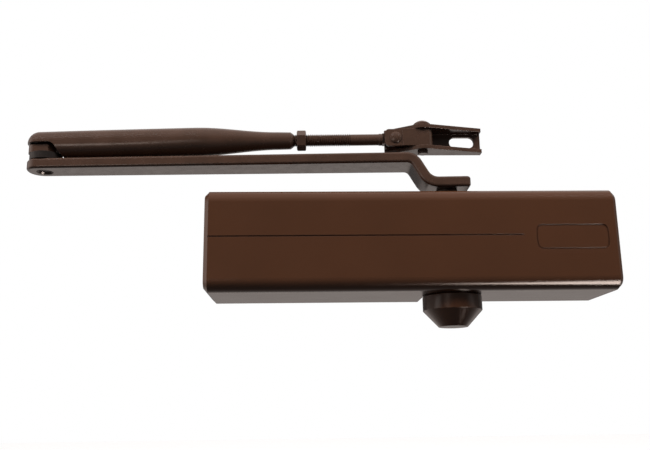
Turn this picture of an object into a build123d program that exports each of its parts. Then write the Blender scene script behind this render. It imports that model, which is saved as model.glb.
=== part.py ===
from build123d import *
import math
import os

# Overhead door closer, in millimetres.
# Origin: centre of the body's four mounting holes, on the plane of the door face.
# +X runs along the body to the right, +Y goes into the door, +Z is up.

# Clearances
FIT = 0.05            # radial gap of pieces that are pressed or screwed together
RUN = 0.06            # radial gap of pieces that turn or slide on each other
SEAT = 0.1            # gap between faces that rest on each other
END_PLAY = 0.3        # gap between faces that move past each other
UPRIGHT = 0.1         # a face stands upright when its normal leans less than this
QUARTER = 90.0        # a quarter of a turn, in degrees
HEXAGON = 6           # sides of nuts and sockets

# Body casting
BORE_RADIUS = 19.05
BODY_WALL = 4.95
SPINDLE_X = 32.8
SPINDLE_Y = -34.4     # the bore's axis lies at the same depth
BOSS_WALL = 4.0
FOOT_THICKNESS = 11.0
FOOT_HEIGHT = 34.0
FOOT_INNER_X = 100.0
FOOT_MARGIN = 12.5    # from the mounting holes to the foot's end
FOOT_CORNER = 5.0
SADDLE_LENGTH = 26.0
HOLE_SPACING_X = 279.4
HOLE_SPACING_Z = 19.05
HOLE_RADIUS = 3.5

# End plugs
PLUG_SHOULDER = 1.95      # how far the plugs' thread stands out over the bore
PLUG_THREAD_LENGTH = 14.0
PLUG_SPIGOT_LENGTH = 8.0
PLUG_SPANNER_RADIUS = 2.0
PLUG_SPANNER_OFFSET = 13.5
PLUG_SPANNER_DEPTH = 4.0
O_RING_SECTION = 2.4
O_RING_SQUEEZE = 0.1

# Pinion and spindle
MODULE = 2.0
TEETH = 10
PRESSURE_ANGLE = math.radians(20)
PROFILE_SHIFT = 0.45
TIP_RELIEF = 0.4
BACKLASH = 0.14
TOOTH_CLEARANCE = 0.4
PINION_OVERHANG = 0.15    # how far the teeth reach past the bore, above and below
JOURNAL_STEP = 0.1
SQUARE_WIDTH = 11.0
SPINDLE_THREAD_RADIUS = 3.4
SPINDLE_THREAD_DEPTH = 15.0
ARM_SWEEP = math.pi       # the arm turns half a turn from closed to fully open

# Rack piston
WINDOW_GAP = 2.0
SPRING_HEAD_LENGTH = 16.0
VALVE_HEAD_LENGTH = 24.5
VALVE_END_GAP = 2.8       # from the piston to the plug, with the door closed
BALL_RADIUS = 2.5
BALL_POCKET_DEPTH = 8.0
BALL_SEAT_RADIUS = 1.5
RETAINER_LENGTH = 1.5
RETAINER_HOLE_RADIUS = 1.2
PISTON_CHAMFER = 0.8

# Bearings, nuts and seals of the spindle
BEARING_WALL = 2.48
BEARING_LENGTH = 7.9
BEARING_LIP = 1.2
NEEDLE_RADIUS = 1.5
NEEDLE_COUNT = 18
NUT_LAND = 3.0            # how far the nuts' thread stands out over the bearings
NUT_THREAD_DEPTH = 3.4
NUT_LENGTH = 4.8
NUT_HOLE_RADIUS = 1.5
NUT_HOLE_INSET = 2.4      # from the seal to the middle of the spanner holes
NUT_HOLE_COUNT = 4
SEAL_WIDTH = 3.6
SEAL_LENGTH = 2.8

# Springs, spring plate and the screw that sets them
SPRING_LENGTH = 99.1
SPRING_GAP = 1.55         # between the bore and the main spring
COIL_GAP = 1.3            # between the two springs
MAIN_SPRING_WIRE = 4.8
MAIN_SPRING_TURNS = 9.5
INNER_SPRING_WIRE = 3.2
INNER_SPRING_TURNS = 14
PLATE_GAP = 0.65
PLATE_THICKNESS = 6.0
PLATE_BOSS_GAP = 0.8
PLATE_BOSS_LENGTH = 6.0
SCREW_RADIUS = 5.0
SCREW_OUTSIDE = 3.5
SCREW_THREAD_LENGTH = 40.9
SCREW_COLLAR_RADIUS = 8.0
SCREW_COLLAR_LENGTH = 3.0
SCREW_SOCKET = 5.0
SCREW_SOCKET_DEPTH = 5.0
SCREW_RING_SECTION = 1.8
SCREW_CHAMFER = 0.8

# Regulating valves, side by side on the body's front
VALVE_RADIUS = 3.0
VALVE_DEPTH = 12.0
VALVE_SPACING = 18.0
VALVE_SLOT = 0.9
VALVE_SLOT_DEPTH = 1.4
VALVE_RING_SECTION = 1.2
VALVE_RING_DEPTH = 5.0
VALVE_TIP_LENGTH = 3.0
VALVE_TIP_RADIUS = 1.0
VALVE_BLOCK_MARGIN = 12.0
VALVE_BLOCK_RISE = 0.6    # how far the valves' block stands out in front of the tube
VALVE_BLOCK_HALF_HEIGHT = 8.0
PORT_RADIUS = 1.2
PORT_DROP = 1.8

# Cover: its length, height and depth follow from the body inside
COVER_WALL = 3.0
COVER_GAP = 6.0           # in front of the valves' block
COVER_HEADROOM = 3.0      # over and under the bearing nuts
COVER_EDGE_RADIUS = 9.5
COVER_BEVEL = 3.2
NOTCH_GAP = 0.7
RIB_THICKNESS = 2.4
RIB_HEIGHT = 56.0
RIB_MIDDLE_X = -50.0
RIB_SPACING = 50.0

# Line and panel on the cover's front
LINE_TO_PANEL = 10.5
LINE_Z = 2.3
LINE_WIDTH = 1.0
LINE_DEPTH = 0.6
PANEL_FROM_END = 36.0
PANEL_Z = 0.6
PANEL_LENGTH = 53.0
PANEL_HEIGHT = 19.0
PANEL_BOW = 1.0
PANEL_CORNER = 4.5
PANEL_DEPTH = 0.25
PANEL_GROOVE_WIDTH = 1.0
PANEL_GROOVE_DEPTH = 0.7

# Screws that hold the cover on the body's feet
COVER_SCREW_RADIUS = 2.0
COVER_SCREW_LENGTH = 12.0
COVER_SCREW_HEAD_RADIUS = 4.0
COVER_SCREW_SLOT = 1.0

# Pinion cap
CAP_LIP = 0.95            # how far the cap covers the notch's edge
CAP_SIDE = 11.5
CAP_HEIGHT = 23.9
CAP_CONE = 11.45
CAP_WALL = 3.0
CAP_SPIGOT_WALL = 3.4
CAP_RIM = 0.8

# Main arm
ARM_LENGTH = 322.5
ARM_ANGLE = 1.92
ARM_THICKNESS = 8.4
ARM_GAP = 6.9             # from the cover's top to the arm
ARM_RISE = 20.5
ARM_BEND_ANGLE = 60.0
ARM_BEND_RADIUS = 13.2    # of the bend at the spindle, in the middle of the arm
ARM_UPPER_BEND_RADIUS = 9.2
ARM_BEND_START = 7.6
ARM_WIDTH_SPINDLE = 31.4
ARM_WIDTH_ELBOW = 24.2
ARM_TAIL = 17.2
ARM_TAIL_CORNER = 3.0
ARM_NOSE = 13.9
ARM_NOSE_CORNER = 11.4
ARM_EDGE = 2.0
ARM_SCREW_HEAD_RADIUS = 8.2
ARM_SCREW_HEAD_LENGTH = 2.5
ARM_SCREW_RADIUS = 3.3
ARM_SCREW_LENGTH = 12.0
ARM_SCREW_SOCKET = 5.0
ARM_SCREW_CHAMFER = 0.6

# Elbow
ELBOW_PIN_RADIUS = 4.5
ELBOW_SINK_RADIUS = 6.6
ELBOW_SINK_DEPTH = 3.4
WASHER_RADIUS = 12.7
WASHER_THICKNESS = 5.7
LUG_THICKNESS = 6.4
LUG_NOSE = 13.3
LUG_CORNER = 7.5
LUG_TAIL_WIDTH = 8.4
LUG_TAIL_START = 4.2
LUG_TAIL_END = 42.0
LUG_TO_AXIS = 9.8         # from the lug's underside up to the forearm's axis
RIVET_HEAD_RADIUS = 7.0
RIVET_HEAD_HEIGHT = 3.0
RIVET_HEAD_RIM = 1.0

# Forearm tube: distances run from the elbow, above and below are measured from the tube's axis
FOREARM_ANGLE = -1.765
TUBE_WALL = 2.0
TUBE_NOSE = 14.4
TUBE_NOSE_WIDTH = 23.2
TUBE_NOSE_BELOW = 12.9
TUBE_NOSE_ABOVE = 8.9
TUBE_NOSE_CORNER = 10.2
TUBE_NOSE_ROUND = 10.0
TUBE_MIDDLE_AT = 60.0
TUBE_MIDDLE_WIDTH = 23.0
TUBE_MIDDLE_BELOW = 12.6
TUBE_MIDDLE_ABOVE = 10.4
TUBE_MIDDLE_CORNER = 10.4
TUBE_ROUND_AT = 122.0
TUBE_ROUND_RADIUS = 11.6
TUBE_SIDE_ARC = 20.0      # part of the round section, in degrees, that each flat side runs into
NECK_START = 188.0
NECK_RADIUS = 7.15
NECK_LENGTH = 12.3
NECK_END_RADIUS = 6.9
NECK_CHAMFER = 1.6
NECK_CHAMFER_LENGTH = 2.3
NECK_BORE_LENGTH = 40.3
ARCH_HEADROOM = 1.6       # from the lug up to the arch
ARCH_START = 3.9
ARCH_ROUND = 7.0
ARCH_TURN = 70.0          # the arch's round part, in degrees
ARCH_MARGIN = 4.3         # from the washer to the foot of the arch

# Rod and jam nut
ROD_RADIUS = 5.0
THREAD_PITCH = 1.5
THREAD_DEPTH = 0.92
THREAD_CREST = 0.2        # width of the thread's crests and of its roots
ROD_INSIDE = 60.3
ROD_PLAIN_LENGTH = 18.0
THREAD_OUTSIDE = 46.3
EYE_OUTSIDE = 82.8
SHANK_RADIUS = 4.55
COLLAR_RADIUS = 4.85
COLLAR_LENGTH = 3.0
COLLAR_CHAMFER = 0.3
EYE_RADIUS = 6.5
EYE_THICKNESS = 6.2
EYE_NECK_HALF_HEIGHT = 4.4
EYE_NECK_LENGTH = 10.6
JAM_NUT_GAP = 2.9
JAM_NUT_FLATS = 14.3
JAM_NUT_LENGTH = 7.3
JAM_NUT_CHAMFER = 1.0
JAM_NUT_TURN = 16.0

# Knuckle
TILT_PIN_RADIUS = 2.5
TILT_HEAD_RADIUS = 4.7
TILT_HEAD_HEIGHT = 1.8
TILT_HEAD_RIM = 0.4
FORK_NOSE = 8.4
FORK_CORNER = 3.0
FORK_THICKNESS = 11.2
FORK_SLOT_DEPTH = 8.0
KNUCKLE_HEIGHT = 14.2
KNUCKLE_THICKNESS = 12.4
KNUCKLE_START = 5.6
KNUCKLE_LENGTH = 22.0     # from the tilt pin to the swivel pin
KNUCKLE_TAIL = 8.0
KNUCKLE_CORNER = 5.2

# Shoe
SHOE_LEFT = 29.9          # from the swivel pin to the shoe's left end
SHOE_RIGHT = 49.0         # from the swivel pin to the shoe's right end
SHOE_GAUGE = 3.0
PIN_TO_WEB = 8.6
FLANGE_LEFT_WIDTH = 3.6
FLANGE_RIGHT_WIDTH = 8.2
FLANGE_RADIUS = 8.5
FLANGE_END = 2.0          # length of the flange's straight ends
SHOE_BEND = 1.6
SLOT_LENGTH = 20.5
SLOT_WIDTH = 9.5
SLOT_FROM_PIN = 33.8
SLOT_SPACING = 48.7
SWIVEL_PIN_RADIUS = 4.1
SWIVEL_PIN_BELOW = 2.4
SWIVEL_HEAD_RADIUS = 6.9
SWIVEL_HEAD_HEIGHT = 5.0
SWIVEL_HEAD_RIM = 2.0
SWIVEL_PIN_CHAMFER = 0.5

# Pinion, rack and spindle
BORE_Y = SPINDLE_Y
PITCH_RADIUS = MODULE * TEETH / 2
TOOTH_PITCH = math.pi * MODULE
RACK_LINE = PITCH_RADIUS + PROFILE_SHIFT * MODULE
RACK_TIP = RACK_LINE - MODULE
PINION_TIP_RADIUS = RACK_LINE + MODULE - TIP_RELIEF
PINION_ROOT_RADIUS = RACK_TIP - TOOTH_CLEARANCE
RACK_ROOT = PINION_TIP_RADIUS + TOOTH_CLEARANCE
PINION_HALF_LENGTH = BORE_RADIUS + PINION_OVERHANG
JOURNAL_RADIUS = PINION_ROOT_RADIUS - JOURNAL_STEP

# Bearings, nuts and boss of the spindle
BEARING_OUTER_RADIUS = JOURNAL_RADIUS + 2 * (RUN + NEEDLE_RADIUS) + BEARING_WALL
BEARING_START = PINION_HALF_LENGTH + END_PLAY
NUT_START = BEARING_START + BEARING_LENGTH + 2 * SEAT
NUT_END = NUT_START + SEAT + NUT_LENGTH
NUT_RADIUS = BEARING_OUTER_RADIUS + NUT_LAND
SEAL_RADIUS = JOURNAL_RADIUS + SEAL_WIDTH
NUT_HOLE_CIRCLE = SEAL_RADIUS + NUT_HOLE_INSET
BOSS_RADIUS = NUT_RADIUS + BOSS_WALL
BOSS_HALF_HEIGHT = NUT_START + NUT_THREAD_DEPTH

# Piston, springs and tube
TUBE_RADIUS = BORE_RADIUS + BODY_WALL
PLUG_THREAD_RADIUS = BORE_RADIUS + PLUG_SHOULDER
PLUG_LENGTH = PLUG_THREAD_LENGTH + PLUG_SPIGOT_LENGTH
PISTON_TRAVEL = PITCH_RADIUS * ARM_SWEEP
WINDOW_LEFT = SPINDLE_X - PINION_TIP_RADIUS - WINDOW_GAP
WINDOW_RIGHT = SPINDLE_X + PINION_TIP_RADIUS + WINDOW_GAP + PISTON_TRAVEL
PISTON_LEFT = WINDOW_LEFT - SPRING_HEAD_LENGTH
PISTON_RIGHT = WINDOW_RIGHT + VALVE_HEAD_LENGTH
PLATE_RIGHT = PISTON_LEFT - SPRING_LENGTH
PLATE_LEFT = PLATE_RIGHT - PLATE_THICKNESS
COLLAR_LEFT = PLATE_LEFT - SEAT - SCREW_COLLAR_LENGTH
TUBE_LEFT = COLLAR_LEFT - SEAT - PLUG_LENGTH
TUBE_RIGHT = PISTON_RIGHT + VALVE_END_GAP + PLUG_LENGTH
MAIN_SPRING_RADIUS = BORE_RADIUS - SPRING_GAP
INNER_SPRING_RADIUS = MAIN_SPRING_RADIUS - MAIN_SPRING_WIRE - COIL_GAP
PLATE_RADIUS = BORE_RADIUS - PLATE_GAP
PLATE_BOSS_RADIUS = INNER_SPRING_RADIUS - INNER_SPRING_WIRE - PLATE_BOSS_GAP

# Valves: the latch valve's port opens between the piston and the plug
VALVE_Z = BORE_RADIUS
VALVE_BLOCK_FRONT = BORE_Y - TUBE_RADIUS - VALVE_BLOCK_RISE
VALVE_HOLE_END = VALVE_BLOCK_FRONT + VALVE_DEPTH
LATCH_X = PISTON_RIGHT + VALVE_END_GAP / 2
VALVE_XS = {
    "latch_valve": LATCH_X,
    "sweep_valve": LATCH_X - VALVE_SPACING,
    "backcheck_valve": LATCH_X - 2 * VALVE_SPACING,
}

# Cover and cap
FOOT_END = HOLE_SPACING_X / 2 + FOOT_MARGIN
FOOT_MIDDLE_Y = -FOOT_THICKNESS / 2
COVER_LENGTH = 2 * (FOOT_END + END_PLAY + COVER_WALL)
COVER_TOP = NUT_END + COVER_HEADROOM + COVER_WALL
COVER_DEPTH = COVER_GAP + COVER_WALL - VALVE_BLOCK_FRONT
NOTCH_RADIUS = BOSS_RADIUS + NOTCH_GAP
RIB_XS = (RIB_MIDDLE_X - RIB_SPACING, RIB_MIDDLE_X, RIB_MIDDLE_X + RIB_SPACING)
PANEL_X = COVER_LENGTH / 2 - PANEL_FROM_END
LINE_LEFT = COVER_BEVEL - COVER_LENGTH / 2
LINE_RIGHT = PANEL_X - PANEL_LENGTH / 2 - LINE_TO_PANEL
CAP_RADIUS = NOTCH_RADIUS + CAP_LIP
CAP_FLAT_RADIUS = CAP_RADIUS - CAP_CONE

# Main arm and elbow
ARM_LOWER_BOTTOM = COVER_TOP + ARM_GAP
ARM_LOWER_TOP = ARM_LOWER_BOTTOM + ARM_THICKNESS
ARM_UPPER_TOP = ARM_LOWER_TOP + ARM_RISE
ARM_UPPER_BOTTOM = ARM_UPPER_TOP - ARM_THICKNESS
ARM_COUNTERBORE = ARM_SCREW_HEAD_LENGTH + SEAT
JOURNAL_HALF_LENGTH = ARM_LOWER_BOTTOM - SEAT
SPINDLE_HALF_LENGTH = ARM_LOWER_TOP - ARM_COUNTERBORE - END_PLAY - SEAT
LUG_BOTTOM = ARM_UPPER_TOP + SEAT + WASHER_THICKNESS + SEAT
LUG_TOP = LUG_BOTTOM + LUG_THICKNESS
LUG_WIDTH = TUBE_NOSE_WIDTH - 2 * (TUBE_WALL + END_PLAY)

# Forearm, rod, knuckle and shoe
FOREARM_Z = LUG_BOTTOM + LUG_TO_AXIS
ARCH_TOP = LUG_TOP + ARCH_HEADROOM - FOREARM_Z
ARCH_END = WASHER_RADIUS + ARCH_MARGIN
NECK_END = NECK_START + NECK_LENGTH
NECK_BORE_START = NECK_END - NECK_BORE_LENGTH
ROD_INNER_END = NECK_END - ROD_INSIDE
THREAD_START = ROD_INNER_END + ROD_PLAIN_LENGTH
THREAD_END = NECK_END + THREAD_OUTSIDE
TILT_AT = NECK_END + EYE_OUTSIDE
SWIVEL_AT = TILT_AT + KNUCKLE_LENGTH
FORK_SLOT = EYE_THICKNESS + 2 * SEAT
SHOE_HALF_GAP = KNUCKLE_HEIGHT / 2 + END_PLAY
SHOE_HALF_HEIGHT = SHOE_HALF_GAP + SHOE_GAUGE

BODY_AXIS = Pos(0, BORE_Y, 0)
SPINDLE = Pos(SPINDLE_X, SPINDLE_Y, 0)
ARM = SPINDLE * Rot(0, 0, 180 - ARM_ANGLE)
ELBOW_X = SPINDLE_X - ARM_LENGTH * math.cos(math.radians(ARM_ANGLE))
ELBOW_Y = SPINDLE_Y + ARM_LENGTH * math.sin(math.radians(ARM_ANGLE))
FOREARM = Pos(ELBOW_X, ELBOW_Y, 0) * Rot(0, 0, FOREARM_ANGLE)
FOREARM_AXIS = FOREARM * Pos(0, 0, FOREARM_Z)
PIN_X = ELBOW_X + SWIVEL_AT * math.cos(math.radians(FOREARM_ANGLE))
PIN_Y = ELBOW_Y + SWIVEL_AT * math.sin(math.radians(FOREARM_ANGLE))
SHOE = Pos(PIN_X, PIN_Y, FOREARM_Z)


def block(x_from, x_to, y_from, y_to, z_from, z_to):
    """A box between two corners."""
    centre = Pos((x_from + x_to) / 2, (y_from + y_to) / 2, (z_from + z_to) / 2)
    return centre * Box(x_to - x_from, y_to - y_from, z_to - z_from)


def rod_x(radius, x_from, x_to):
    """A cylinder along X."""
    return Pos((x_from + x_to) / 2, 0, 0) * Rot(0, 90, 0) * Cylinder(radius, x_to - x_from)


def rod_y(radius, y_from, y_to):
    """A cylinder along Y."""
    return Pos(0, (y_from + y_to) / 2, 0) * Rot(90, 0, 0) * Cylinder(radius, y_to - y_from)


def rod_z(radius, z_from, z_to):
    """A cylinder along Z."""
    return Pos(0, 0, (z_from + z_to) / 2) * Cylinder(radius, z_to - z_from)


def turned(*points):
    """A solid of revolution about Z, from its half outline of (radius, height) points."""
    return revolve(Plane.XZ * make_face(Polyline(*points, close=True)), Axis.Z)


def turned_x(*points):
    """The same about X: the outline's points are (radius, distance along X)."""
    return Rot(0, 90, 0) * turned(*points)


def ring(outer, inner, z_from, z_to):
    """A plain ring about Z."""
    return rod_z(outer, z_from, z_to) - rod_z(inner, z_from, z_to)


def dome(radius, height, rim):
    """A domed head that stands on z = 0: a spherical crown over a low rim."""
    rise = height - rim
    ball = (radius ** 2 + rise ** 2) / (2 * rise)
    return rod_z(radius, 0, height) & (Pos(0, 0, height - ball) * Sphere(ball))


def o_ring(inner, outer):
    """An O-ring about Z."""
    return Torus((outer + inner) / 2, (outer - inner) / 2)


def mirrored_pair(solid):
    """A solid and its mirror image below the bore's axis."""
    return [solid, mirror(solid, Plane.XY)]


def closer_body():
    """The casting: tube, spindle boss, valve block and two feet."""
    body = BODY_AXIS * rod_x(TUBE_RADIUS, TUBE_LEFT, TUBE_RIGHT)
    body += SPINDLE * rod_z(BOSS_RADIUS, -BOSS_HALF_HEIGHT, BOSS_HALF_HEIGHT)
    xs = VALVE_XS.values()
    body += block(
        min(xs) - VALVE_BLOCK_MARGIN, max(xs) + VALVE_BLOCK_MARGIN,
        VALVE_BLOCK_FRONT, BORE_Y,
        VALVE_Z - VALVE_BLOCK_HALF_HEIGHT, VALVE_Z + VALVE_BLOCK_HALF_HEIGHT,
    )
    half = FOOT_HEIGHT / 2
    for side in (-1, 1):
        ends = sorted((side * FOOT_INNER_X, side * FOOT_END))
        foot = block(*ends, -FOOT_THICKNESS, 0, -half, half)
        foot = fillet(foot.edges().filter_by(Axis.Y), FOOT_CORNER)
        saddle = sorted((side * FOOT_INNER_X, side * (FOOT_INNER_X + SADDLE_LENGTH)))
        body += foot + block(*saddle, BORE_Y, -FOOT_THICKNESS, -half, half)
    body -= BODY_AXIS * rod_x(BORE_RADIUS, TUBE_LEFT, TUBE_RIGHT)
    body -= BODY_AXIS * rod_x(PLUG_THREAD_RADIUS, TUBE_LEFT, TUBE_LEFT + PLUG_THREAD_LENGTH)
    body -= BODY_AXIS * rod_x(PLUG_THREAD_RADIUS, TUBE_RIGHT - PLUG_THREAD_LENGTH, TUBE_RIGHT)
    for side in (-1, 1):
        screw = sorted((side * FOOT_END, side * (FOOT_END - COVER_SCREW_LENGTH)))
        body -= Pos(0, FOOT_MIDDLE_Y, 0) * rod_x(COVER_SCREW_RADIUS + FIT, *screw)
    body -= SPINDLE * rod_z(BEARING_OUTER_RADIUS, -BOSS_HALF_HEIGHT, BOSS_HALF_HEIGHT)
    for nut_hole in mirrored_pair(rod_z(NUT_RADIUS, NUT_START, BOSS_HALF_HEIGHT)):
        body -= SPINDLE * nut_hole
    for centre in GridLocations(HOLE_SPACING_X, HOLE_SPACING_Z, 2, 2):
        hole = Pos(centre.position.X, 0, centre.position.Y)
        body -= hole * rod_y(HOLE_RADIUS, -FOOT_THICKNESS, 0)
    for x in xs:
        body -= Pos(x, 0, VALVE_Z) * rod_y(VALVE_RADIUS + FIT, VALVE_BLOCK_FRONT, VALVE_HOLE_END)
        body -= Pos(x, 0, VALVE_Z - PORT_DROP) * rod_y(PORT_RADIUS, VALVE_HOLE_END - PORT_RADIUS, BORE_Y)
    return body


def end_plug(screw_hole):
    """A threaded plug with a spigot and an O-ring groove; its outer face is at x = 0."""
    shoulder = SEAT - PLUG_THREAD_LENGTH
    groove_at = -PLUG_THREAD_LENGTH - PLUG_SPIGOT_LENGTH / 2
    half = O_RING_SECTION / 2 + SEAT
    spigot = BORE_RADIUS - FIT
    thread = PLUG_THREAD_RADIUS - FIT
    groove = spigot - O_RING_SECTION
    plug = turned_x(
        (0, -PLUG_LENGTH), (spigot, -PLUG_LENGTH), (spigot, groove_at - half), (groove, groove_at - half),
        (groove, groove_at + half), (spigot, groove_at + half), (spigot, shoulder),
        (thread, shoulder), (thread, 0), (0, 0),
    )
    for side in (-1, 1):
        plug -= Pos(0, side * PLUG_SPANNER_OFFSET, 0) * rod_x(PLUG_SPANNER_RADIUS, -PLUG_SPANNER_DEPTH, 0)
    if screw_hole:
        plug -= rod_x(SCREW_RADIUS + RUN, -PLUG_LENGTH, 0)
        ring_at = -PLUG_THREAD_LENGTH / 2
        ring_half = SCREW_RING_SECTION / 2 + SEAT
        ring_groove = SCREW_RADIUS + SCREW_RING_SECTION + SEAT
        plug -= rod_x(ring_groove, ring_at - ring_half, ring_at + ring_half)
    return plug


def plug_o_rings():
    """The sealing rings in the grooves of both end plugs."""
    outer = BORE_RADIUS - FIT
    seal = Rot(0, 90, 0) * o_ring(outer - O_RING_SECTION + O_RING_SQUEEZE, outer)
    inward = PLUG_THREAD_LENGTH + PLUG_SPIGOT_LENGTH / 2
    return [BODY_AXIS * Pos(x, 0, 0) * seal for x in (TUBE_LEFT + inward, TUBE_RIGHT - inward)]


def adjusting_screw():
    """The screw that moves the spring plate, with its collar and hex socket."""
    start = TUBE_LEFT - SCREW_OUTSIDE
    collar_end = COLLAR_LEFT + SCREW_COLLAR_LENGTH
    screw = rod_x(SCREW_RADIUS, start, collar_end + SCREW_THREAD_LENGTH)
    screw = chamfer(screw.edges().filter_by(GeomType.CIRCLE), SCREW_CHAMFER)
    screw += rod_x(SCREW_COLLAR_RADIUS, COLLAR_LEFT, collar_end)
    socket = extrude(RegularPolygon(SCREW_SOCKET / 2, HEXAGON, major_radius=False), SCREW_SOCKET_DEPTH)
    return screw - Pos(start, 0, 0) * Rot(0, 90, 0) * socket


def screw_o_ring():
    """The sealing ring round the adjusting screw."""
    inner = SCREW_RADIUS + RUN
    seal = Rot(0, 90, 0) * o_ring(inner, SCREW_RADIUS + SCREW_RING_SECTION)
    return Pos(TUBE_LEFT + PLUG_THREAD_LENGTH / 2, 0, 0) * seal


def spring_plate():
    """The plate that the springs stand on."""
    plate = rod_x(PLATE_RADIUS, PLATE_LEFT, PLATE_RIGHT)
    plate += rod_x(PLATE_BOSS_RADIUS, PLATE_RIGHT, PLATE_RIGHT + PLATE_BOSS_LENGTH)
    return plate - rod_x(SCREW_RADIUS + RUN, PLATE_LEFT, PLATE_RIGHT + PLATE_BOSS_LENGTH)


def coil_spring(outer_radius, wire, turns, lefthand):
    """A compression spring between the spring plate and the piston."""
    start = PLATE_RIGHT + wire / 2 + SEAT
    length = PISTON_LEFT - wire / 2 - SEAT - start
    path = Helix(length / turns, length, outer_radius - wire / 2, lefthand=lefthand)
    section = Plane(path @ 0, z_dir=path % 0) * Circle(wire / 2)
    return Pos(start, 0, 0) * Rot(0, 90, 0) * sweep(section, path, is_frenet=True)


def rack_window():
    """Plan outline of the piston's window, with the rack's teeth along its back."""
    slope = math.tan(PRESSURE_ANGLE)
    half_tip = TOOTH_PITCH / 4 - MODULE * slope
    half_root = TOOTH_PITCH / 4 + (RACK_ROOT - RACK_LINE) * slope
    front = -PINION_TIP_RADIUS - WINDOW_GAP / 2
    points = [
        (WINDOW_LEFT, RACK_ROOT), (WINDOW_LEFT, front), (WINDOW_RIGHT, front), (WINDOW_RIGHT, RACK_ROOT),
    ]
    last = int((WINDOW_RIGHT - SPINDLE_X) / TOOTH_PITCH - 0.5)
    for index in range(last, -2, -1):
        middle = SPINDLE_X + (index + 0.5) * TOOTH_PITCH
        points += [(middle + half_root, RACK_ROOT), (middle + half_tip, RACK_TIP)]
        points += [(middle - half_tip, RACK_TIP), (middle - half_root, RACK_ROOT)]
    return make_face(Polyline(*points, close=True))


def rack_piston():
    """The piston: two heads joined by a toothed bridge."""
    radius = BORE_RADIUS - RUN
    piston = rod_x(radius, PISTON_LEFT, PISTON_RIGHT)
    piston = chamfer(piston.edges().filter_by(GeomType.CIRCLE), PISTON_CHAMFER)
    piston -= extrude(rack_window(), radius, both=True)
    piston -= rod_x(BALL_RADIUS + SEAT, PISTON_RIGHT - BALL_POCKET_DEPTH, PISTON_RIGHT)
    return piston - rod_x(BALL_SEAT_RADIUS, WINDOW_RIGHT, PISTON_RIGHT)


def check_ball():
    """The ball of the piston's check valve, on its seat."""
    seat = PISTON_RIGHT - BALL_POCKET_DEPTH
    return Pos(seat + math.sqrt(BALL_RADIUS ** 2 - BALL_SEAT_RADIUS ** 2) + FIT, 0, 0) * Sphere(BALL_RADIUS)


def check_retainer():
    """The ring that keeps the ball in its pocket."""
    start = PISTON_RIGHT - RETAINER_LENGTH
    outer = rod_x(BALL_RADIUS + FIT, start, PISTON_RIGHT)
    return outer - rod_x(RETAINER_HOLE_RADIUS, start, PISTON_RIGHT)


def involute(angle):
    return math.tan(angle) - angle


def pinion_outline():
    """The pinion's outline, with one tooth pointing at the rack."""
    base = PITCH_RADIUS * math.cos(PRESSURE_ANGLE)
    tooth = MODULE * (math.pi / 2 + 2 * PROFILE_SHIFT * math.tan(PRESSURE_ANGLE)) - BACKLASH

    def flank(radius, side, centre):
        spread = tooth / (2 * PITCH_RADIUS) + involute(PRESSURE_ANGLE)
        if radius > base:
            spread -= involute(math.acos(base / radius))
        angle = centre + side * spread
        return (radius * math.cos(angle), radius * math.sin(angle))

    def root(side, centre):
        x, y = flank(base, side, centre)
        return (x * PINION_ROOT_RADIUS / base, y * PINION_ROOT_RADIUS / base)

    middle = (base + PINION_TIP_RADIUS) / 2
    edges = []
    for index in range(TEETH):
        centre = math.pi / 2 + index * 2 * math.pi / TEETH
        tip = (PINION_TIP_RADIUS * math.cos(centre), PINION_TIP_RADIUS * math.sin(centre))
        gap = centre + math.pi / TEETH
        valley = (PINION_ROOT_RADIUS * math.cos(gap), PINION_ROOT_RADIUS * math.sin(gap))
        after = centre + 2 * math.pi / TEETH
        rise = [flank(r, -1, centre) for r in (base, middle, PINION_TIP_RADIUS)]
        fall = [flank(r, 1, centre) for r in (PINION_TIP_RADIUS, middle, base)]
        edges += [Line(root(-1, centre), rise[0]), ThreePointArc(*rise)]
        edges += [ThreePointArc(rise[2], tip, fall[0]), ThreePointArc(*fall)]
        edges += [Line(fall[2], root(1, centre))]
        edges += [ThreePointArc(root(1, centre), valley, root(-1, after))]
    return make_face(edges)


def pinion_spindle():
    """The spindle: pinion, two journals and a square at each end."""
    end = SPINDLE_HALF_LENGTH
    half = SQUARE_WIDTH / 2
    spindle = extrude(pinion_outline(), PINION_HALF_LENGTH, both=True)
    spindle += rod_z(JOURNAL_RADIUS, -JOURNAL_HALF_LENGTH, JOURNAL_HALF_LENGTH)
    for square in mirrored_pair(block(-half, half, -half, half, JOURNAL_HALF_LENGTH, end)):
        spindle += Rot(0, 0, -ARM_ANGLE) * square
    for hole in mirrored_pair(rod_z(SPINDLE_THREAD_RADIUS, end - SPINDLE_THREAD_DEPTH, end)):
        spindle -= hole
    return spindle


def bearing_cup():
    """The drawn cup of the upper needle bearing."""
    outer = BEARING_OUTER_RADIUS - FIT
    track = JOURNAL_RADIUS + 2 * (RUN + NEEDLE_RADIUS)
    lip = JOURNAL_RADIUS + NEEDLE_RADIUS / 2
    start = BEARING_START
    end = BEARING_START + BEARING_LENGTH
    return turned(
        (lip, start), (outer, start), (outer, end), (lip, end), (lip, end - BEARING_LIP),
        (track, end - BEARING_LIP), (track, start + BEARING_LIP), (lip, start + BEARING_LIP),
    )


def needles():
    """The needles of the upper bearing."""
    start = BEARING_START + BEARING_LIP + SEAT
    end = BEARING_START + BEARING_LENGTH - BEARING_LIP - SEAT
    needle = rod_z(NEEDLE_RADIUS, start, end)
    return [place * needle for place in PolarLocations(JOURNAL_RADIUS + RUN + NEEDLE_RADIUS, NEEDLE_COUNT)]


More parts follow.
